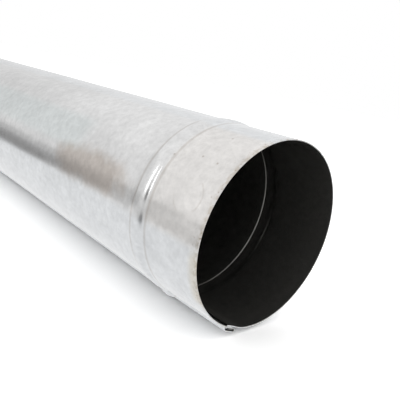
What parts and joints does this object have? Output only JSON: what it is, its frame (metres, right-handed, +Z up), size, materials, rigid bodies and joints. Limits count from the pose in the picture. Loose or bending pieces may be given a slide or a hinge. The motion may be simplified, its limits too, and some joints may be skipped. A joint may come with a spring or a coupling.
{
  "type": "galvanized duct pipe",
  "caption": "Round galvanized steel duct pipe with a lock seam, a plain far end, and a reduced collar behind a rolled stop bead at its mouth.",
  "frame": {"origin": "on the floor under the middle of the pipe's length, straight below its axis", "axes": "+X along the axis and out of the mouth that has the collar and the bead, +Z up; the lock seam is 20 degrees from straight down, towards -Y, with its edge on the floor"},
  "size_m": [1, 0.1018, 0.1017],
  "materials": {
    "galvanized_sheet": "hot-dip galvanized sheet, faintly mottled, with light handling marks and a stain"
  },
  "bodies": {
    "root": {"duct_pipe": "galvanized_sheet"}
  },
  "joints": []
}
